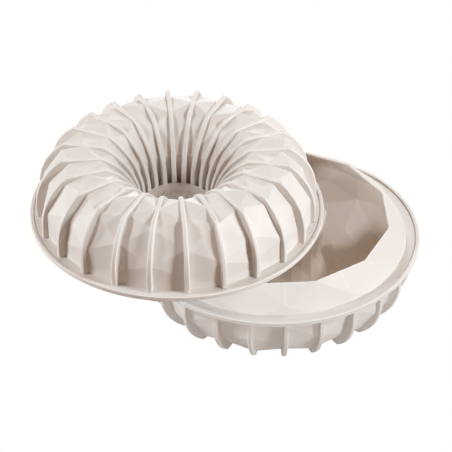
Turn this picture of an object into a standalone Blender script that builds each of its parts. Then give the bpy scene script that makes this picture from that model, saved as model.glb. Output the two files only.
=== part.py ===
# Faceted ring cake moulds in silicone: two copies of one moulding, one standing on its ribs,
# the other upside down on top of it, lip to lip. Metres, +Z up, the pair stands on z = 0.
import math

import bmesh
import bpy
from mathutils import Matrix

# Ring body, seen with its closed side up: heights are measured from the flange's middle plane
BODY_RADIUS = 0.1108        # widest facet corners, where the wall meets the flange
CREST_HEIGHT = 0.0550       # flange plane to the flat crests of the ribs
FACET_CLEARANCE = 0.0005    # highest facet corners below the rib crests
WAIST_RADIUS = 0.0377       # narrowest part of the centre cone
WALL = 0.0020
LIP_HEIGHT = 0.0220         # flange plane to the open side's lips
LIP_RADIUS = 0.0960         # corners of the twelve-sided outer lip
INNER_LIP_RADIUS = 0.0410   # corners of the twelve-sided inner lip

# Flange round the body, with a bead along its edge
FLANGE_WIDTH = 0.0092
FLANGE_THICKNESS = 0.0020
BEAD_WIDTH = 0.0030
BEAD_HEIGHT = 0.0040
BEAD_CHAMFER = 0.0008

# Ribs, one on each column of facet corners
RIB_REACH = 0.0036          # rib foot beyond the body at the flange
RIB_RISE = 0.0128           # straight part of the rib's outer edge
RIB_SINK = 0.00025          # rib foot below the flange's middle plane
SHOULDER_INSET = 0.0185     # rib shoulder inside the body radius
CREST_END_INSET = 0.0512    # inner end of the flat crest inside the body radius
RIB_FOOT_THICKNESS = 0.0042  # at the flange's middle plane
RIB_CREST_THICKNESS = 0.0034
RIB_FOOT_RADIUS = 0.0292    # inner edge of the ribs at the centre disc

# Membrane that closes the centre cone, and the raised disc on it
MEMBRANE_THICKNESS = 0.0020
MEMBRANE_TOP = 0.0015
DISC_RADIUS = 0.0300
DISC_TOP = 0.0048

# The pair
STACK_GAP = 0.0003          # between the lips that rest on each other
OFFSET_X = 0.0811           # upper mould to the left of the lower one
OFFSET_Y = 0.0222           # and nearer to the front
LOWER_TURN = math.radians(3.3)
UPPER_TURN = math.radians(4.8)

# Construction
PAIRS = 12                  # facet sectors, each with one A and one B column
RIM_STEPS = 72
MEMBRANE_STEPS = 48
ARC_STEPS = 6
ROOT_REACH = 0.0060         # flange and membrane start this far beyond the body's outer skin
RUN_OUT = 0.0040            # cavity cutter past both lips
MERGE_DISTANCE = 0.00001
SHARP_ANGLE = math.radians(8.0)

# Warm greige silicone, matt
COLOUR = (0.70, 0.62, 0.56, 1.0)
ROUGHNESS = 0.55

COLUMN_STEP = math.pi / PAIRS
HALF_SECTOR = math.cos(COLUMN_STEP)
BODY_TOP = CREST_HEIGHT - FACET_CLEARANCE
RIM_RADIUS = BODY_RADIUS + FLANGE_WIDTH


def outer(inset, height):
    """Facet corner on the outer side of the ring."""
    return (BODY_RADIUS - inset, height)


def inner(outset, height):
    """Facet corner on the centre cone."""
    return (WAIST_RADIUS + outset, height)


# Facet corners down each column, from the outer lip over the closed side to the inner lip
COLUMN_A = [
    (LIP_RADIUS * HALF_SECTOR, -LIP_HEIGHT),
    outer(0.0030, -0.0080),
    outer(0.0014, 0.0),
    outer(0.0025, 0.0124),
    outer(0.0081, BODY_TOP - 0.0197),
    outer(0.0242, BODY_TOP - 0.0026),
    outer(0.0494, BODY_TOP - 0.0009),
    inner(0.0058, BODY_TOP - 0.0168),
    inner(0.0, BODY_TOP - 0.0273),
    inner(-0.0024, BODY_TOP - 0.0420),
    (INNER_LIP_RADIUS, -LIP_HEIGHT),
]
COLUMN_B = [
    (LIP_RADIUS, -LIP_HEIGHT),
    outer(0.0, 0.0014),
    outer(0.0, 0.0237),
    outer(0.0162, BODY_TOP - 0.0055),
    outer(0.0346, BODY_TOP),
    inner(0.0153, BODY_TOP - 0.0057),
    inner(0.0, BODY_TOP - 0.0273),
    inner(-0.0012, 0.0005),
    (INNER_LIP_RADIUS * HALF_SECTOR, -LIP_HEIGHT),
]
# Which column each triangle of a strip moves down on, from the outer lip to the inner one
STRIP_ORDER = "ABAABABABABABAABAB"


def place(radius, azimuth, height):
    """Point at an azimuth counted from -Y towards +X."""
    return (radius * math.sin(azimuth), -radius * math.cos(azimuth), height)


def move_along(point, towards, distance):
    """Point moved away from another one, past itself, by a distance."""
    dr = point[0] - towards[0]
    dz = point[1] - towards[1]
    share = distance / math.hypot(dr, dz)
    return (point[0] + dr * share, point[1] + dz * share)


def offset_path(path, distance):
    """Section path moved sideways towards the cavity, with mitred corners."""
    moved = []
    for i, point in enumerate(path):
        before = path[max(i - 1, 0)]
        after = path[min(i + 1, len(path) - 1)]
        normals = []
        for start, end in ((before, point), (point, after)):
            dr = end[0] - start[0]
            dz = end[1] - start[1]
            length = math.hypot(dr, dz)
            if length > 0.0:
                normals.append((-dz / length, dr / length))
        nr = sum(n[0] for n in normals) / len(normals)
        nz = sum(n[1] for n in normals) / len(normals)
        scale = distance / (nr * nr + nz * nz)
        moved.append((point[0] + nr * scale, point[1] + nz * scale))
    return moved


def cavity_path(path):
    """Inside of the wall for one column, run out past both lips."""
    longer = [move_along(path[0], path[1], RUN_OUT)] + path[1:-1]
    longer.append(move_along(path[-1], path[-2], RUN_OUT))
    return offset_path(longer, WALL)


def facet_ring(name, column_a, column_b):
    """Closed ring of triangular facets between alternating A and B columns."""
    bm = bmesh.new()
    columns = []
    for k in range(2 * PAIRS):
        path = column_a if k % 2 == 0 else column_b
        columns.append([bm.verts.new(place(r, k * COLUMN_STEP, z)) for r, z in path])
    for k, left in enumerate(columns):
        right = columns[(k + 1) % len(columns)]
        left_letter = "A" if k % 2 == 0 else "B"
        i = 0
        j = 0
        for letter in STRIP_ORDER:
            if letter == left_letter:
                bm.faces.new((left[i], right[j], left[i + 1]))
                i += 1
            else:
                bm.faces.new((left[i], right[j], right[j + 1]))
                j += 1
        bm.faces.new((left[-1], right[-1], right[0], left[0]))
    return finish(name, bm)


def turned(name, profile, steps):
    """Closed solid of revolution from a profile that goes round counter-clockwise."""
    bm = bmesh.new()
    verts = [bm.verts.new((r, 0.0, z)) for r, z in profile]
    edges = [bm.edges.new((verts[i - 1], verts[i])) for i in range(len(verts))
             if profile[i - 1][0] > 0.0 or profile[i][0] > 0.0]
    bmesh.ops.spin(bm, geom=verts + edges, cent=(0, 0, 0), axis=(0, 0, 1),
                   angle=2.0 * math.pi, steps=steps, use_merge=True)
    bmesh.ops.remove_doubles(bm, verts=bm.verts, dist=MERGE_DISTANCE)
    # Half a step of turn keeps the turned edges off the facet columns
    half_step = Matrix.Rotation(math.pi / steps, 3, "Z")
    bmesh.ops.rotate(bm, verts=bm.verts, cent=(0, 0, 0), matrix=half_step)
    bmesh.ops.recalc_face_normals(bm, faces=bm.faces)
    return finish(name, bm)


def flange():
    """Round flange with its edge bead, rooted inside the body."""
    root = BODY_RADIUS - ROOT_REACH
    half = FLANGE_THICKNESS / 2.0
    bead = BEAD_HEIGHT / 2.0
    bead_root = RIM_RADIUS - BEAD_WIDTH
    profile = [
        (root, -half), (bead_root, -half), (bead_root + BEAD_CHAMFER, -bead),
        (RIM_RADIUS - BEAD_CHAMFER, -bead), (RIM_RADIUS, -bead + BEAD_CHAMFER),
        (RIM_RADIUS, bead - BEAD_CHAMFER), (RIM_RADIUS - BEAD_CHAMFER, bead),
        (bead_root + BEAD_CHAMFER, bead), (bead_root, half), (root, half),
    ]
    return turned("flange", profile, RIM_STEPS)


def membrane():
    """Web across the centre cone, rooted inside the cone's wall, with its raised disc."""
    root = WAIST_RADIUS + ROOT_REACH
    bottom = MEMBRANE_TOP - MEMBRANE_THICKNESS
    profile = [
        (0.0, bottom), (root, bottom), (root, MEMBRANE_TOP),
        (DISC_RADIUS, MEMBRANE_TOP), (DISC_RADIUS, DISC_TOP), (0.0, DISC_TOP),
    ]
    return turned("membrane", profile, MEMBRANE_STEPS)


def arc(start, end, steps):
    """Arc that leaves its start upright and bends over to an end aside of it and above."""
    dr = end[0] - start[0]
    dz = end[1] - start[1]
    radius = (dr * dr + dz * dz) / (2.0 * abs(dr))
    side = math.copysign(1.0, dr)
    centre = start[0] + side * radius
    last = math.asin(dz / radius)
    angles = [last * i / steps for i in range(steps + 1)]
    return [(centre - side * radius * math.cos(a), start[1] + radius * math.sin(a)) for a in angles]


def rib_outline():
    """Outline of one rib in its radial plane, closed through the body's inside."""
    foot = BODY_RADIUS + RIB_REACH
    shoulder = (BODY_RADIUS - SHOULDER_INSET, CREST_HEIGHT)
    crest_end = (BODY_RADIUS - CREST_END_INSET, CREST_HEIGHT)
    outside = arc((foot, RIB_RISE), shoulder, ARC_STEPS)
    inside = arc((RIB_FOOT_RADIUS, DISC_TOP), crest_end, ARC_STEPS)
    return [(foot, -RIB_SINK)] + outside + inside[::-1] + [(RIB_FOOT_RADIUS, -RIB_SINK)]


def ribs():
    """One rib a column, a little thinner at the crest than at the foot."""
    bm = bmesh.new()
    outline = rib_outline()
    draft = RIB_FOOT_THICKNESS - RIB_CREST_THICKNESS
    for k in range(2 * PAIRS):
        sides = []
        for side in (1.0, -1.0):
            loop = []
            for radius, height in outline:
                thickness = RIB_CREST_THICKNESS + draft * (1.0 - height / CREST_HEIGHT)
                loop.append(bm.verts.new((side * thickness / 2.0, -radius, height)))
            sides.append(loop)
        bm.faces.new(sides[0])
        bm.faces.new(sides[1][::-1])
        for i in range(len(outline)):
            bm.faces.new((sides[0][i], sides[0][i - 1], sides[1][i - 1], sides[1][i]))
        turn = Matrix.Rotation(k * COLUMN_STEP, 3, "Z")
        bmesh.ops.rotate(bm, verts=sides[0] + sides[1], cent=(0, 0, 0), matrix=turn)
    bmesh.ops.recalc_face_normals(bm, faces=bm.faces)
    return finish("ribs", bm)


def finish(name, bm):
    """Mesh object from a bmesh, linked to the scene."""
    mesh = bpy.data.meshes.new(name)
    bm.to_mesh(mesh)
    bm.free()
    obj = bpy.data.objects.new(name, mesh)
    bpy.context.scene.collection.objects.link(obj)
    return obj


def moulding():
    """One mould as a single body: ring, flange, ribs and membrane, hollowed by the cavity."""
    body = facet_ring("body", COLUMN_A, COLUMN_B)
    cavity = facet_ring("cavity", cavity_path(COLUMN_A), cavity_path(COLUMN_B))
    helpers = [("UNION", flange()), ("UNION", membrane()), ("UNION", ribs()), ("DIFFERENCE", cavity)]
    for operation, helper in helpers:
        modifier = body.modifiers.new(helper.name, "BOOLEAN")
        modifier.operation = operation
        modifier.solver = "EXACT"
        modifier.object = helper
    depsgraph = bpy.context.evaluated_depsgraph_get()
    mesh = bpy.data.meshes.new_from_object(body.evaluated_get(depsgraph))
    mesh.name = "cake_mould"
    bm = bmesh.new()
    bm.from_mesh(mesh)
    bmesh.ops.remove_doubles(bm, verts=bm.verts, dist=MERGE_DISTANCE)
    bm.to_mesh(mesh)
    bm.free()
    for obj in [body] + [helper for _, helper in helpers]:
        bpy.data.objects.remove(obj, do_unlink=True)
    return mesh


def silicone():
    """Material of both moulds."""
    material = bpy.data.materials.new("silicone")
    material.use_nodes = True
    shader = material.node_tree.nodes["Principled BSDF"]
    shader.inputs["Base Color"].default_value = COLOUR
    shader.inputs["Roughness"].default_value = ROUGHNESS
    shader.inputs["Metallic"].default_value = 0.0
    return material


def stand(name, mesh, location, rotation):
    """One mould of the pair, at its place."""
    obj = bpy.data.objects.new(name, mesh)
    obj.location = location
    obj.rotation_euler = rotation
    bpy.context.scene.collection.objects.link(obj)


for old in list(bpy.data.objects):
    bpy.data.objects.remove(old, do_unlink=True)

mould = moulding()
mould.materials.clear()
mould.materials.append(silicone())
mould.shade_smooth()
mould.set_sharp_from_angle(angle=SHARP_ANGLE)

upper_plane = CREST_HEIGHT + 2.0 * LIP_HEIGHT + STACK_GAP
stand("lower_mould", mould, (OFFSET_X / 2, OFFSET_Y / 2, CREST_HEIGHT), (0.0, math.pi, LOWER_TURN))
stand("upper_mould", mould, (-OFFSET_X / 2, -OFFSET_Y / 2, upper_plane), (0.0, 0.0, UPPER_TURN))
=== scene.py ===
# A stacked pair of faceted silicone ring moulds on a white table, in metres, +Z up.
# Both are the same moulding: half of one facet sector is modelled, then mirrored and turned into a ring.
import math

import bmesh
import bpy
from mathutils import Matrix, Vector


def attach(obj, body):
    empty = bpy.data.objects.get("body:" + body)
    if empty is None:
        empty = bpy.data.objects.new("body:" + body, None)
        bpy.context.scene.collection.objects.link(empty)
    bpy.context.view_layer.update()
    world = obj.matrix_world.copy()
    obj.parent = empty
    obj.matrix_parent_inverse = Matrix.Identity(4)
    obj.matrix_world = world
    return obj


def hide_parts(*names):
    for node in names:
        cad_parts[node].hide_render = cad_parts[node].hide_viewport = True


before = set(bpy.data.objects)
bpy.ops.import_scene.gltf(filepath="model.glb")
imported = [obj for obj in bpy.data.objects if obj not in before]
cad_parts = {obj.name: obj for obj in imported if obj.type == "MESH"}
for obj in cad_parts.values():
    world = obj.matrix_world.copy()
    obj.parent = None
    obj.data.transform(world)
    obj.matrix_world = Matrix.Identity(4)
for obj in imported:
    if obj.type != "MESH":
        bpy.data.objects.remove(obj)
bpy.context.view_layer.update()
print("frame loaded")

# How the pair stands: the lower mould on its ribs, the upper one turned over on its lips
pair = {
    "offsetX": 0.0811,
    "offsetY": 0.0222,
    "lowerTurn": 3.3,
    "upperTurn": 4.8,
    "lipGap": 0.0003,
}

# The ring wall, closed side up, heights from the flange's middle plane
wall = {
    "bodyRadius": 0.1108,
    "crestHeight": 0.0550,
    "crestClearance": 0.0005,
    "waistRadius": 0.0377,
    "thickness": 0.0020,
    "lipHeight": 0.0220,
    "lipRadius": 0.0960,
    "innerLipRadius": 0.0410,
    "sectors": 12,
    "edgeRounding": 0.0007,
    "edgeSegments": 3,
    "rootDepth": 0.0010,     # how deep ribs, flange and web are rooted in the wall
    "sliceMargin": 4.0,
}
columnStep = math.pi / wall["sectors"]
bodyTop = wall["crestHeight"] - wall["crestClearance"]


def outerCorner(inset, height):
    return (wall["bodyRadius"] - inset, height)


def innerCorner(outset, height):
    return (wall["waistRadius"] + outset, height)


# Facet corners of the two kinds of column, from the outer lip over the top to the inner lip
columnA = [
    (wall["lipRadius"] * math.cos(columnStep), -wall["lipHeight"]),
    outerCorner(0.0030, -0.0080),
    outerCorner(0.0014, 0.0),
    outerCorner(0.0025, 0.0124),
    outerCorner(0.0081, bodyTop - 0.0197),
    outerCorner(0.0242, bodyTop - 0.0026),
    outerCorner(0.0494, bodyTop - 0.0009),
    innerCorner(0.0058, bodyTop - 0.0168),
    innerCorner(0.0, bodyTop - 0.0273),
    innerCorner(-0.0024, bodyTop - 0.0420),
    (wall["innerLipRadius"], -wall["lipHeight"]),
]
columnB = [
    (wall["lipRadius"], -wall["lipHeight"]),
    outerCorner(0.0, 0.0014),
    outerCorner(0.0, 0.0237),
    outerCorner(0.0162, bodyTop - 0.0055),
    outerCorner(0.0346, bodyTop),
    innerCorner(0.0153, bodyTop - 0.0057),
    innerCorner(0.0, bodyTop - 0.0273),
    innerCorner(-0.0012, 0.0005),
    (wall["innerLipRadius"] * math.cos(columnStep), -wall["lipHeight"]),
]
stripOrder = "ABAABABABABABAABAB"    # which column each facet of the strip moves down on

flange = {
    "width": 0.0092,
    "thickness": 0.0020,
    "beadWidth": 0.0030,
    "beadHeight": 0.0040,
    "beadRounding": 0.0007,
    "beadSteps": 4,
    "grooveWidth": 0.0009,     # along the bead's inner side, on both faces
    "grooveDepth": 0.0004,
    "grooveFloor": 0.6,        # share of the groove's width that is level
    "seamWidth": 0.0005,       # parting seam round the bead's outer side
    "seamDepth": 0.0003,
    "seamFloor": 0.5,          # share of the seam's width that is level
    "stepAngle": 2.5,
    "rootReach": 0.0060,
}

rib = {
    "reach": 0.0036,
    "rise": 0.0128,
    "sink": 0.00025,           # how far the feet reach under the flange's middle plane
    "shoulderInset": 0.0185,
    "crestEndInset": 0.0512,
    "footThickness": 0.0042,
    "crestThickness": 0.0034,
    "footRadius": 0.0292,
    "arcSteps": 18,
    "rounding": 0.0010,
    "segments": 4,
    "rimAngle": 60.0,          # edges that turn more than this are rounded
}

web = {
    "thickness": 0.0020,
    "top": 0.0015,
    "discRadius": 0.0300,
    "discTop": 0.0048,
    "discRounding": 0.0006,
    "stepAngle": 2.5,
    "rootReach": 0.0060,
}

joinDistance = 0.000002
roundProfile = 0.5
quarterTurn = 90.0
sliceOverrun = 2          # steps that a swept slice runs on past each side
coreOverrun = 0.0080      # how far the cutting core runs on past the lips


def around(radius, azimuth, height):
    # azimuth counts from -Y towards +X
    return Vector((radius * math.sin(azimuth), -radius * math.cos(azimuth), height))


def roundEdges(bm, edges, width, segments):
    bmesh.ops.bevel(bm, geom=edges, offset=width, offset_type="OFFSET", segments=segments,
                    profile=roundProfile, affect="EDGES", clamp_overlap=True, material=-1)


def facetSheet():
    # One strip between an A and a B column, mirrored and turned into the whole ring, facing out
    bm = bmesh.new()
    left = [bm.verts.new(around(r, 0.0, z)) for r, z in columnA]
    right = [bm.verts.new(around(r, columnStep, z)) for r, z in columnB]
    i = 0
    j = 0
    for letter in stripOrder:
        if letter == "A":
            bm.faces.new((left[i], right[j], left[i + 1]))
            i += 1
        else:
            bm.faces.new((left[i], right[j], right[j + 1]))
            j += 1
    fullRing(bm)
    bm.normal_update()
    topFace = max(bm.faces, key=lambda f: f.calc_center_median().z)
    if topFace.normal.z < 0.0:
        bmesh.ops.reverse_faces(bm, faces=bm.faces[:])
    return bm


def fullRing(bm):
    # Mirrors a slice that starts at the front plane, then turns the pair round the axis
    bmesh.ops.mirror(bm, geom=bm.verts[:] + bm.edges[:] + bm.faces[:], matrix=Matrix.Identity(4),
                     merge_dist=joinDistance, axis="X")
    bmesh.ops.spin(bm, geom=bm.verts[:] + bm.edges[:] + bm.faces[:], cent=(0, 0, 0), axis=(0, 0, 1),
                   angle=2.0 * math.pi, steps=wall["sectors"], use_duplicate=True)
    bmesh.ops.remove_doubles(bm, verts=bm.verts[:], dist=joinDistance)
    bmesh.ops.delete(bm, geom=[e for e in bm.edges if e.is_wire], context="EDGES")
    bmesh.ops.recalc_face_normals(bm, faces=bm.faces[:])


def ringShell():
    # The wall at its real thickness, with softly rounded facet edges and lips
    bm = facetSheet()
    bmesh.ops.solidify(bm, geom=bm.faces[:], thickness=wall["thickness"])
    bmesh.ops.recalc_face_normals(bm, faces=bm.faces[:])
    roundEdges(bm, bm.edges[:], wall["edgeRounding"], wall["edgeSegments"])
    return bm


def rootCutter():
    # Solid inside of the wall, a little under its outer skin, run out past the lips
    bm = facetSheet()
    bm.normal_update()
    for vert in bm.verts:
        vert.co -= vert.normal * vert.calc_shell_factor() * wall["rootDepth"]
    lips = [e for e in bm.edges if e.is_boundary]
    lowered = bmesh.ops.extrude_edge_only(bm, edges=lips)["geom"]
    bmesh.ops.translate(bm, verts=[g for g in lowered if isinstance(g, bmesh.types.BMVert)],
                        vec=(0, 0, -coreOverrun))
    bmesh.ops.bridge_loops(bm, edges=[e for e in bm.edges if e.is_boundary])
    bmesh.ops.recalc_face_normals(bm, faces=bm.faces[:])
    return bm


def sweptSlice(profile, stepAngle):
    # Turns a closed profile through the slice and a few steps past both of its sides
    bm = bmesh.new()
    step = math.radians(stepAngle)
    steps = round(columnStep / step) + 2 * sliceOverrun
    face = bm.faces.new([bm.verts.new(around(r, -sliceOverrun * step, z)) for r, z in profile])
    bmesh.ops.spin(bm, geom=[face], cent=(0, 0, 0), axis=(0, 0, 1), angle=step * steps, steps=steps)
    bmesh.ops.remove_doubles(bm, verts=bm.verts[:], dist=joinDistance)
    bmesh.ops.recalc_face_normals(bm, faces=bm.faces[:])
    return bm


def flangeSlice():
    # Upper half of the section from the root to the bead's parting seam, then its mirror image
    half = flange["thickness"] / 2.0
    rim = wall["bodyRadius"] + flange["width"]
    root = wall["bodyRadius"] - flange["rootReach"]
    beadRoot = rim - flange["beadWidth"]
    soft = flange["beadRounding"]
    top = flange["beadHeight"] / 2.0
    upper = [
        (root, half), (beadRoot - flange["grooveWidth"], half),
        (beadRoot - flange["grooveWidth"] * flange["grooveFloor"], half - flange["grooveDepth"]),
        (beadRoot, half - flange["grooveDepth"]),
    ]
    for centre, start in ((beadRoot + soft, 2.0 * quarterTurn), (rim - soft, quarterTurn)):
        for i in range(flange["beadSteps"] + 1):
            angle = math.radians(start - quarterTurn * i / flange["beadSteps"])
            upper.append((centre + soft * math.cos(angle), top - soft + soft * math.sin(angle)))
    seamHalf = flange["seamWidth"] / 2.0
    upper += [(rim, seamHalf), (rim - flange["seamDepth"], seamHalf * flange["seamFloor"])]
    return sweptSlice(upper + [(r, -z) for r, z in reversed(upper)], flange["stepAngle"])


def webSlice():
    root = wall["waistRadius"] + web["rootReach"]
    bottom = web["top"] - web["thickness"]
    soft = web["discRounding"]
    profile = [
        (0.0, bottom), (root, bottom), (root, web["top"]), (web["discRadius"], web["top"]),
        (web["discRadius"], web["discTop"] - soft), (web["discRadius"] - soft, web["discTop"]),
        (0.0, web["discTop"]),
    ]
    return sweptSlice(profile, web["stepAngle"])


def bentArc(start, end, steps):
    # Leaves its start upright and bends over to an end aside of it and above
    dr = end[0] - start[0]
    dz = end[1] - start[1]
    radius = (dr * dr + dz * dz) / (2.0 * abs(dr))
    side = math.copysign(1.0, dr)
    last = math.asin(dz / radius)
    points = []
    for i in range(steps + 1):
        angle = last * i / steps
        aside = side * radius * (1.0 - math.cos(angle))
        points.append((start[0] + aside, start[1] + radius * math.sin(angle)))
    return points


def ribPlate(column):
    # Upright plate on a column: outline in the front plane, pulled to its thickness, thinner at the crest
    bm = bmesh.new()
    foot = wall["bodyRadius"] + rib["reach"]
    shoulder = (wall["bodyRadius"] - rib["shoulderInset"], wall["crestHeight"])
    crestEnd = (wall["bodyRadius"] - rib["crestEndInset"], wall["crestHeight"])
    outside = bentArc((foot, rib["rise"]), shoulder, rib["arcSteps"])
    inside = bentArc((rib["footRadius"], web["discTop"]), crestEnd, rib["arcSteps"])
    outline = [(foot, -rib["sink"])] + outside + inside[::-1] + [(rib["footRadius"], -rib["sink"])]
    face = bm.faces.new([bm.verts.new((0.0, -r, z)) for r, z in outline])
    pulled = bmesh.ops.extrude_face_region(bm, geom=[face], use_keep_orig=True)["geom"]
    sides = {1.0: [g for g in pulled if isinstance(g, bmesh.types.BMVert)], -1.0: list(face.verts)}
    for side, verts in sides.items():
        for vert in verts:
            down = 1.0 - vert.co.z / wall["crestHeight"]
            thickness = rib["crestThickness"] + (rib["footThickness"] - rib["crestThickness"]) * down
            vert.co.x = side * thickness / 2.0
    bmesh.ops.recalc_face_normals(bm, faces=bm.faces[:])
    rims = [e for e in bm.edges if e.calc_face_angle() > math.radians(rib["rimAngle"])]
    roundEdges(bm, rims, rib["rounding"], rib["segments"])
    aside = Matrix.Rotation(column * columnStep, 3, "Z")
    bmesh.ops.rotate(bm, verts=bm.verts[:], cent=(0, 0, 0), matrix=aside)
    return bm


def meshObject(name, bm):
    mesh = bpy.data.meshes.new(name)
    bm.to_mesh(mesh)
    bm.free()
    obj = bpy.data.objects.new(name, mesh)
    bpy.context.scene.collection.objects.link(obj)
    return obj


def combine(base, steps):
    # Applies Boolean steps to the base and returns the result as a bmesh
    for operation, other in steps:
        modifier = base.modifiers.new(other.name, "BOOLEAN")
        modifier.operation = operation
        modifier.solver = "EXACT"
        modifier.object = other
    evaluated = base.evaluated_get(bpy.context.evaluated_depsgraph_get())
    bm = bmesh.new()
    bm.from_mesh(evaluated.to_mesh())
    evaluated.to_mesh_clear()
    return bm


def cutAt(bm, normal, fill):
    # Takes away what lies on the normal's side of a plane through the axis
    cut = bmesh.ops.bisect_plane(bm, geom=bm.verts[:] + bm.edges[:] + bm.faces[:], dist=joinDistance,
                                 plane_co=(0, 0, 0), plane_no=normal, clear_outer=True)
    if fill:
        edges = [g for g in cut["geom_cut"] if isinstance(g, bmesh.types.BMEdge)]
        bmesh.ops.holes_fill(bm, edges=edges)


def wedge(bm, margin):
    # Keeps the slice from the front plane to one column step, with a margin on both sides, closed
    startNormal = around(1.0, -margin, 0.0).cross(Vector((0, 0, 1)))
    endNormal = -around(1.0, columnStep + margin, 0.0).cross(Vector((0, 0, 1)))
    cutAt(bm, startNormal, margin > 0.0)
    cutAt(bm, endNormal, margin > 0.0)


def mouldSlice():
    shellMesh = ringShell()
    wedge(shellMesh, math.radians(wall["sliceMargin"]))
    shell = meshObject("wallShell", shellMesh)
    core = meshObject("rootCore", rootCutter())
    bases = [meshObject("ribFront", ribPlate(0)), meshObject("ribNext", ribPlate(1)),
             meshObject("webSlice", webSlice()), meshObject("flangeSlice", flangeSlice())]
    rooted = []
    for base in bases:
        rooted.append(meshObject(base.name + "Rooted", combine(base, [("DIFFERENCE", core)])))
    bm = combine(shell, [("UNION", piece) for piece in rooted])
    for obj in [shell, core] + bases + rooted:
        bpy.data.objects.remove(obj, do_unlink=True)
    wedge(bm, 0.0)
    return bm


# Rounded edges and the lips get a painted highlight: a paler tone standing in for the light they catch
highlightEdges = {
    "width": 0.0006,       # outward faces narrower than this belong to a rounded edge
    "leastTurn": 12.0,     # degrees between such faces at which the painted highlight starts
    "mostTurn": 22.0,      # degrees at which the painted highlight is full
    "hollow": -2.0,        # faces with a turn below this lie in a hollow corner
    "lipDepth": 0.0002,    # level faces this close to the lips get the painted highlight too
    "lipShare": 0.6,
}


def markPaintedHighlights(bm):
    # Keeps on each face how far it belongs to a sharp rounded edge, as its share of the painted highlight
    share = bm.faces.layers.float.new("paintedEdgeHighlight")
    for face in bm.faces:
        turns = [math.degrees(e.calc_face_angle_signed(0.0)) for e in face.edges]
        narrow = face.calc_area() / max(e.calc_length() for e in face.edges) < highlightEdges["width"]
        if narrow and min(turns) > highlightEdges["hollow"]:
            highlighted = (max(turns) - highlightEdges["leastTurn"]) / (highlightEdges["mostTurn"] - highlightEdges["leastTurn"])
            face[share] = min(1.0, max(0.0, highlighted))
        elif max(v.co.z for v in face.verts) < highlightEdges["lipDepth"] - wall["lipHeight"]:
            face[share] = highlightEdges["lipShare"]


cakeSide = {
    "coreRadius": 0.0745,    # a circle along the middle of the cavity
    "coreHeight": 0.0200,
    "leastFacing": 0.3,      # cosine between a face's normal and its way to that circle
}


def markCakeSide(bm):
    # Marks the wall's faces that look into the ring-shaped cavity, which get the painted warm light
    inside = bm.faces.layers.float.new("cakeSide")
    for face in bm.faces:
        centre = face.calc_center_median()
        radius = math.hypot(centre.x, centre.y)
        if wall["waistRadius"] - wall["thickness"] < radius < wall["bodyRadius"]:
            core = Vector((centre.x, centre.y, 0.0)) * (cakeSide["coreRadius"] / radius)
            core.z = cakeSide["coreHeight"]
            if face.normal.dot((core - centre).normalized()) > cakeSide["leastFacing"]:
                face[inside] = 1.0


def mouldRing():
    # The whole moulding, closed side up, on its own axis
    bm = mouldSlice()
    fullRing(bm)
    markPaintedHighlights(bm)
    markCakeSide(bm)
    return bm


smoothing = {
    "sharpAngle": 40.0,
    "areaWeight": 100,
}


def setDown(name, ring, turn, flip, x, y, z):
    # One copy of the moulding at its place in the pair, with its place in its mesh
    bm = ring.copy()
    ownPlace = bm.verts.layers.float_vector.new("ownPlace")
    for vert in bm.verts:
        vert[ownPlace] = vert.co
    place = Matrix.Translation((x, y, z)) @ Matrix.Rotation(math.radians(turn), 4, "Z")
    if flip:
        place = place @ Matrix.Rotation(math.pi, 4, "Y")
    bmesh.ops.transform(bm, matrix=place, verts=bm.verts[:])
    piece = meshObject(name, bm)
    piece.data.shade_smooth()
    piece.data.set_sharp_from_angle(angle=math.radians(smoothing["sharpAngle"]))
    weighted = piece.modifiers.new("evenNormals", "WEIGHTED_NORMAL")
    weighted.keep_sharp = True
    weighted.weight = smoothing["areaWeight"]
    return piece


finish = {
    "colour": (0.70, 0.62, 0.56, 1.0),          # powdery warm greige
    "bloomColour": (0.655, 0.630, 0.600, 1.0),  # dusty bloom that silicone gathers
    "bloomShare": 0.25,
    "edgeHighlightColour": (0.76, 0.71, 0.67, 1.0),      # painted highlight, paler along rounded edges and the lips
    "edgeHighlightShare": 0.6,
    "holeShadeColour": (0.50, 0.40, 0.33, 1.0),      # painted shade, low in the centre hole and on its disc
    "discShadeShare": 0.45,
    "wellShadeShare": 0.9,
    "wellTop": 0.0240,          # heights at which the hole's painted shade starts and is full
    "wellBottom": 0.0060,
    "wellReach": 0.0335,        # distance from the axis from which the hole's wall gets painted shade
    "wellFade": 0.0020,
    "holeMargin": 0.0040,       # and how far past the waist it still is
    "cavityWarmLight": (0.72, 0.625, 0.545, 1.0),    # painted warm light on the faces inside the cavity
    "cavityWarmLightShare": 0.9,
    "patchScale": 45.0,
    "patchShare": 0.25,
    "speckleScale": 1100.0,
    "speckleShare": 0.20,
    "roughness": 0.48,
    "roughnessSpread": 0.10,
    "sheen": 0.1,
    "grainScale": 900.0,
    "grainDepth": 0.00003,
    "pebbleScale": 560.0,
    "pebbleDepth": 0.0018,
    "pebbleRadius": 0.0215,     # rough patch in the middle of the closed cone's disc
    "pebbleFade": 0.0040,
}

ring = mouldRing()
print("moulding", len(ring.verts), "vertices,", sum(1 for e in ring.edges if not e.is_manifold), "open edges")
lowerPlane = wall["crestHeight"]
upperPlane = wall["crestHeight"] + 2.0 * wall["lipHeight"] + pair["lipGap"]
lowerMould = setDown("lower_moulding", ring, pair["lowerTurn"], True,
                     pair["offsetX"] / 2, pair["offsetY"] / 2, lowerPlane)
upperMould = setDown("upper_moulding", ring, pair["upperTurn"], False,
                     -pair["offsetX"] / 2, -pair["offsetY"] / 2, upperPlane)
ring.free()

skinNoises = [
    {"output": "Patches", "scale": "Patch Scale", "detail": 3.0, "low": 0.35, "high": 0.65},
    {"output": "Speckle", "scale": "Speckle Scale", "detail": 1.0, "low": 0.3, "high": 0.7},
    {"output": "Grain", "scale": "Grain Scale", "detail": 2.0, "low": 0.2, "high": 0.8},
]


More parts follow.
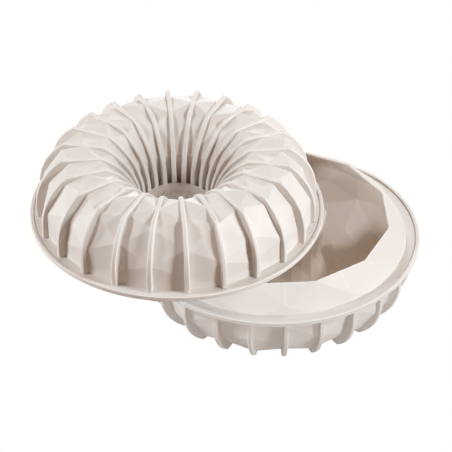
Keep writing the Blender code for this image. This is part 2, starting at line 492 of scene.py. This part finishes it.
def skinGroup():
    # Soft patches, fine speckle and grain of moulded silicone, on a moulding's own coordinates
    group = bpy.data.node_groups.new("siliconeSkin", "ShaderNodeTree")
    group.interface.new_socket(name="Place", in_out="INPUT", socket_type="NodeSocketVector")
    for kind in skinNoises:
        group.interface.new_socket(name=kind["scale"], in_out="INPUT", socket_type="NodeSocketFloat")
        group.interface.new_socket(name=kind["output"], in_out="OUTPUT", socket_type="NodeSocketFloat")
    given = group.nodes.new("NodeGroupInput")
    result = group.nodes.new("NodeGroupOutput")
    for kind in skinNoises:
        noise = group.nodes.new("ShaderNodeTexNoise")
        noise.inputs["Detail"].default_value = kind["detail"]
        group.links.new(given.outputs["Place"], noise.inputs["Vector"])
        group.links.new(given.outputs[kind["scale"]], noise.inputs["Scale"])
        spread = ramp(group, noise.outputs["Fac"], kind["low"], kind["high"])
        group.links.new(spread, result.inputs[kind["output"]])
    return group


def ramp(tree, value, start, end):
    # 0 at the start value, 1 at the end value, held beyond both
    node = tree.nodes.new("ShaderNodeMapRange")
    node.inputs["From Min"].default_value = start
    node.inputs["From Max"].default_value = end
    tree.links.new(value, node.inputs["Value"])
    return node.outputs["Result"]


def combined(tree, operation, first, second):
    node = tree.nodes.new("ShaderNodeMath")
    node.operation = operation
    for socket, value in zip(node.inputs, (first, second)):
        if isinstance(value, float):
            socket.default_value = value
        else:
            tree.links.new(value, socket)
    return node.outputs["Value"]


def tinted(tree, base, tint, share):
    # Mixes a tint over the base by a share that varies over the surface
    node = tree.nodes.new("ShaderNodeMix")
    node.data_type = "RGBA"
    for socket, value in ((node.inputs["A"], base), (node.inputs["B"], tint)):
        if isinstance(value, tuple):
            socket.default_value = value
        else:
            tree.links.new(value, socket)
    tree.links.new(share, node.inputs["Factor"])
    return node.outputs["Result"]


def attribute(tree, name, output):
    node = tree.nodes.new("ShaderNodeAttribute")
    node.attribute_name = name
    return node.outputs[output]


def bumped(tree, height, distance, normal):
    node = tree.nodes.new("ShaderNodeBump")
    node.inputs["Distance"].default_value = distance
    tree.links.new(height, node.inputs["Height"])
    if normal is not None:
        tree.links.new(normal, node.inputs["Normal"])
    return node.outputs["Normal"]


def siliconeMaterial(name, skin):
    material = bpy.data.materials.new(name)
    material.use_nodes = True
    tree = material.node_tree
    shader = tree.nodes["Principled BSDF"]
    place = attribute(tree, "ownPlace", "Vector")
    surface = tree.nodes.new("ShaderNodeGroup")
    surface.node_tree = skin
    tree.links.new(place, surface.inputs["Place"])
    surface.inputs["Patch Scale"].default_value = finish["patchScale"]
    surface.inputs["Speckle Scale"].default_value = finish["speckleScale"]
    surface.inputs["Grain Scale"].default_value = finish["grainScale"]

    # Height and distance from the moulding's own axis
    split = tree.nodes.new("ShaderNodeSeparateXYZ")
    tree.links.new(place, split.inputs["Vector"])
    square = [combined(tree, "MULTIPLY", split.outputs[axis], split.outputs[axis]) for axis in ("X", "Y")]
    reach = combined(tree, "SQRT", combined(tree, "ADD", square[0], square[1]), 0.0)
    well = combined(tree, "MULTIPLY", ramp(tree, split.outputs["Z"], finish["wellTop"], finish["wellBottom"]),
                    ramp(tree, reach, finish["wellReach"], finish["wellReach"] + finish["wellFade"]))
    holeEdge = wall["waistRadius"] + finish["holeMargin"]
    inHole = ramp(tree, reach, holeEdge + finish["wellFade"], holeEdge)
    well = combined(tree, "MULTIPLY", well, inHole)
    disc = ramp(tree, reach, web["discRadius"], web["discRadius"] - finish["pebbleFade"])
    pebbled = ramp(tree, reach, finish["pebbleRadius"], finish["pebbleRadius"] - finish["pebbleFade"])

    # Tone: bloom in patches and speckle, painted highlights on edges, painted warm light in the cavity,
    # painted shade in the hole and on its disc
    patches = combined(tree, "MULTIPLY", surface.outputs["Patches"], finish["patchShare"])
    speckle = combined(tree, "MULTIPLY", surface.outputs["Speckle"], finish["speckleShare"])
    bloom = combined(tree, "ADD", combined(tree, "ADD", patches, speckle), finish["bloomShare"])
    tone = tinted(tree, finish["colour"], finish["bloomColour"], bloom)
    # Painted highlight on rounded edges and the lips
    highlighted = combined(tree, "MULTIPLY", attribute(tree, "paintedEdgeHighlight", "Fac"), finish["edgeHighlightShare"])
    tone = tinted(tree, tone, finish["edgeHighlightColour"], highlighted)
    # Painted warm light on the faces inside the cavity
    warmLit = combined(tree, "MULTIPLY", attribute(tree, "cakeSide", "Fac"), finish["cavityWarmLightShare"])
    tone = tinted(tree, tone, finish["cavityWarmLight"], warmLit)
    # Painted shade low in the centre hole and on its disc
    paintedShade = combined(tree, "MAXIMUM", combined(tree, "MULTIPLY", well, finish["wellShadeShare"]),
                       combined(tree, "MULTIPLY", disc, finish["discShadeShare"]))
    tree.links.new(tinted(tree, tone, finish["holeShadeColour"], paintedShade), shader.inputs["Base Color"])

    # Gloss, grain and the pebbled patch
    gloss = combined(tree, "MULTIPLY", surface.outputs["Patches"], finish["roughnessSpread"])
    tree.links.new(combined(tree, "ADD", gloss, finish["roughness"]), shader.inputs["Roughness"])
    pebbles = tree.nodes.new("ShaderNodeTexVoronoi")
    pebbles.inputs["Scale"].default_value = finish["pebbleScale"]
    tree.links.new(place, pebbles.inputs["Vector"])
    stipple = combined(tree, "MULTIPLY", pebbles.outputs["Distance"], pebbled)
    normal = bumped(tree, surface.outputs["Grain"], finish["grainDepth"], None)
    tree.links.new(bumped(tree, stipple, finish["pebbleDepth"], normal), shader.inputs["Normal"])
    shader.inputs["Sheen Weight"].default_value = finish["sheen"]
    return material


silicone = siliconeMaterial("silicone", skinGroup())
for piece, body, node in ((lowerMould, "lower", "lower_mould"), (upperMould, "upper", "upper_mould")):
    piece.data.materials.append(silicone)
    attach(piece, body)
    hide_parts(node)
print("moulds set down")

table = {
    "size": 6.0,
    "colour": (0.9, 0.9, 0.9, 1.0),
    "roughness": 1.0,
    "gloss": 0.0,
    "white": 1.09,
    "whiteShare": 0.9,     # how much of what the camera sees of the table is plain white
}
bm = bmesh.new()
bmesh.ops.create_grid(bm, x_segments=1, y_segments=1, size=table["size"] / 2.0)
floor = meshObject("white_table", bm)


def seenPlain(tree):
    # 1 for what the camera, a reflection or a clear body looks at, 0 for light on the object
    path = tree.nodes.new("ShaderNodeLightPath")
    plain = path.outputs["Is Camera Ray"]
    for output in ("Is Glossy Ray", "Is Transmission Ray"):
        plain = combined(tree, "MAXIMUM", plain, path.outputs[output])
    return plain


def tableMaterial():
    # White paper that still takes a faint shadow
    material = bpy.data.materials.new("whitePaper")
    material.use_nodes = True
    tree = material.node_tree
    paper = tree.nodes["Principled BSDF"]
    paper.inputs["Base Color"].default_value = table["colour"]
    paper.inputs["Roughness"].default_value = table["roughness"]
    paper.inputs["Specular IOR Level"].default_value = table["gloss"]
    white = tree.nodes.new("ShaderNodeEmission")
    white.inputs["Strength"].default_value = table["white"]
    mix = tree.nodes.new("ShaderNodeMixShader")
    tree.links.new(combined(tree, "MULTIPLY", seenPlain(tree), table["whiteShare"]), mix.inputs["Fac"])
    tree.links.new(paper.outputs["BSDF"], mix.inputs[1])
    tree.links.new(white.outputs["Emission"], mix.inputs[2])
    tree.links.new(mix.outputs["Shader"], tree.nodes["Material Output"].inputs["Surface"])
    return material


floor.data.materials.append(tableMaterial())

# Soft boxes round the object: azimuth from the camera's side towards the right, in degrees.
# Each mould takes its own watts from every box, because the photograph looks lit for each one alone.
studio = {
    "aim": (0.0, 0.0, 0.07),
    "distance": 1.8,
    "size": 0.3,
    "colour": (0.855, 0.95, 1.025),
    "fill": (1.03, 0.69, 0.455, 1.0),
    "fillStrength": 0.3,
    "backdrop": (1.0, 1.0, 1.0, 1.0),
}
boxes = [
    {"name": "rightHigh", "azimuth": 65.0, "elevation": 38.0, "upper": 21.2, "lower": 9.2},
    {"name": "rightBackHigh", "azimuth": 120.0, "elevation": 38.0, "upper": 3.0, "lower": 12.0},
    {"name": "leftHigh", "azimuth": -80.0, "elevation": 38.0, "upper": 16.4, "lower": 16.0},
    {"name": "front", "azimuth": 0.0, "elevation": 6.0, "upper": 0.0, "lower": 10.2},
    {"name": "rightLow", "azimuth": 62.0, "elevation": 6.0, "upper": 14.8, "lower": 13.2},
    {"name": "leftLow", "azimuth": -90.0, "elevation": 6.0, "upper": 14.4, "lower": 12.4},
    {"name": "back", "azimuth": 180.0, "elevation": 14.0, "upper": 9.5, "lower": 17.0},
]


def pieceGroup(name, pieces):
    group = bpy.data.collections.new(name)
    for piece in pieces:
        group.objects.link(piece)
    return group


def softBox(name, box, power, lit, shading):
    light = bpy.data.lights.new(name, "AREA")
    light.shape = "SQUARE"
    light.size = studio["size"]
    light.color = studio["colour"]
    light.energy = power
    lamp = bpy.data.objects.new(name, light)
    level = math.radians(box["elevation"])
    away = around(math.cos(level), math.radians(box["azimuth"]), math.sin(level)) * studio["distance"]
    lamp.location = Vector(studio["aim"]) + away
    lamp.rotation_euler = away.to_track_quat("Z", "Y").to_euler()
    bpy.context.scene.collection.objects.link(lamp)
    lamp.light_linking.receiver_collection = lit
    lamp.light_linking.blocker_collection = shading


litUpper = pieceGroup("litUpper", [upperMould])
litLower = pieceGroup("litLower", [lowerMould])
shadingUpper = pieceGroup("shadingUpper", [upperMould, lowerMould, floor])
shadingLower = pieceGroup("shadingLower", [lowerMould, floor])
lampGroups = {"upper": (litUpper, shadingUpper), "lower": (litLower, shadingLower)}
for box in boxes:
    for side, (lit, shadowing) in lampGroups.items():
        if box[side] > 0.0:
            softBox(box["name"] + "On" + side.capitalize(), box, box[side], lit, shadowing)


def studioWorld():
    # Warm fill light on the object, plain white to look at
    world = bpy.data.worlds.new("studio")
    world.use_nodes = True
    tree = world.node_tree
    fill = tree.nodes["Background"]
    fill.inputs["Color"].default_value = studio["fill"]
    fill.inputs["Strength"].default_value = studio["fillStrength"]
    backdrop = tree.nodes.new("ShaderNodeBackground")
    backdrop.inputs["Color"].default_value = studio["backdrop"]
    view = tree.nodes.new("ShaderNodeMixShader")
    tree.links.new(seenPlain(tree), view.inputs["Fac"])
    tree.links.new(fill.outputs["Background"], view.inputs[1])
    tree.links.new(backdrop.outputs["Background"], view.inputs[2])
    tree.links.new(view.outputs["Shader"], tree.nodes["World Output"].inputs["Surface"])
    return world


bpy.context.scene.world = studioWorld()
print("lamps set")

camera = {
    "lens": 200.87,
    "sensor": 36.0,
    "place": (-0.00062, -1.67209, 1.3222),
    "tilt": 53.235,
    "roll": -0.413,
}
cameraData = bpy.data.cameras.new("photoCamera")
cameraData.lens = camera["lens"]
cameraData.sensor_width = camera["sensor"]
cameraObject = bpy.data.objects.new("photoCamera", cameraData)
cameraObject.matrix_world = (Matrix.Translation(camera["place"])
                             @ Matrix.Rotation(math.radians(camera["tilt"]), 4, "X")
                             @ Matrix.Rotation(math.radians(camera["roll"]), 4, "Z"))
bpy.context.scene.collection.objects.link(cameraObject)
bpy.context.scene.camera = cameraObject
bpy.context.scene.view_settings.view_transform = "Standard"
